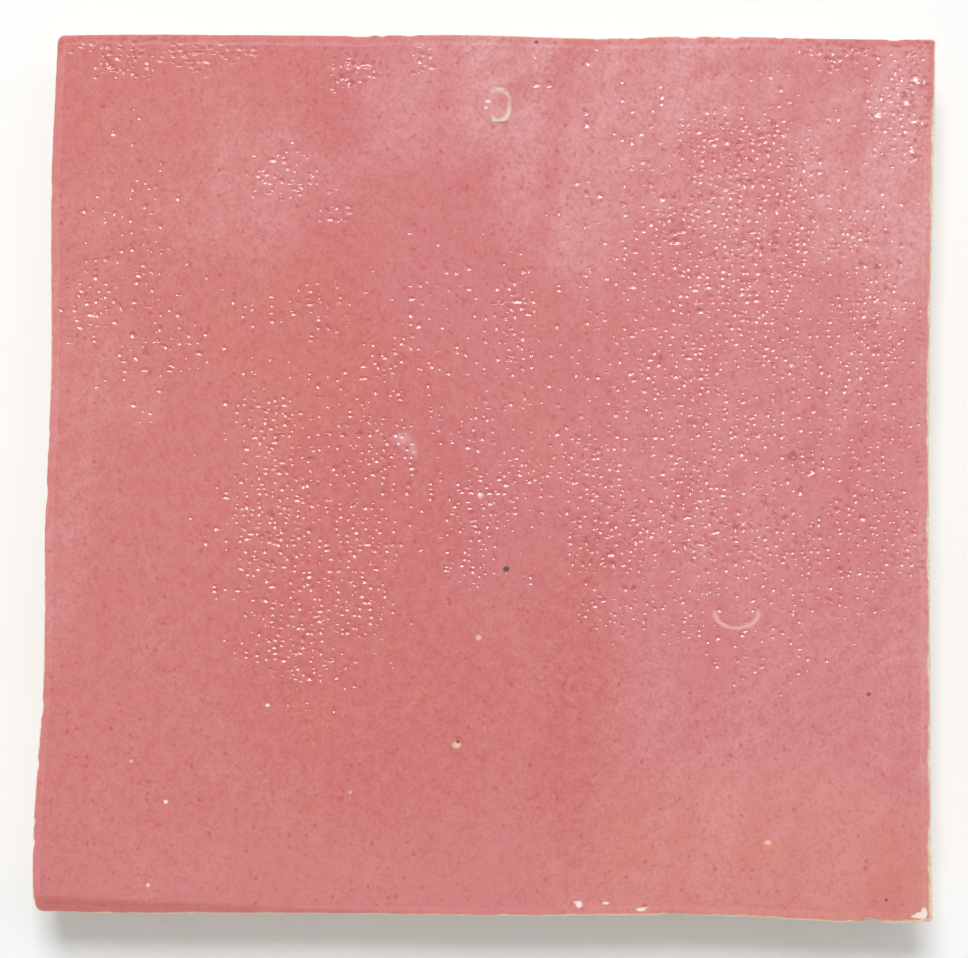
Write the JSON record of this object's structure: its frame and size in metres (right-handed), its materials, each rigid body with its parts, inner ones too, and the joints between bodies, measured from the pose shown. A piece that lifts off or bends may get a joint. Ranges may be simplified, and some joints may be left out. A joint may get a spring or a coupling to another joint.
{
  "type": "zellige tile",
  "caption": "Square hand-cut zellige tile with an uneven glossy rose-pink glaze, a crisp rim, and undercut clay sides scalloped by the hammer.",
  "frame": {"origin": "middle of the tile's bounding box, on the flat bedding face at the back", "axes": "+Z out of the glazed face, +X to the right and +Y away from the viewer, as the tile is seen from above"},
  "size_m": [0.102, 0.1004, 0.0112],
  "materials": {
    "pink_glaze": "gloss"
  },
  "bodies": {
    "root": {"tile_body": "pink_glaze"}
  },
  "joints": []
}
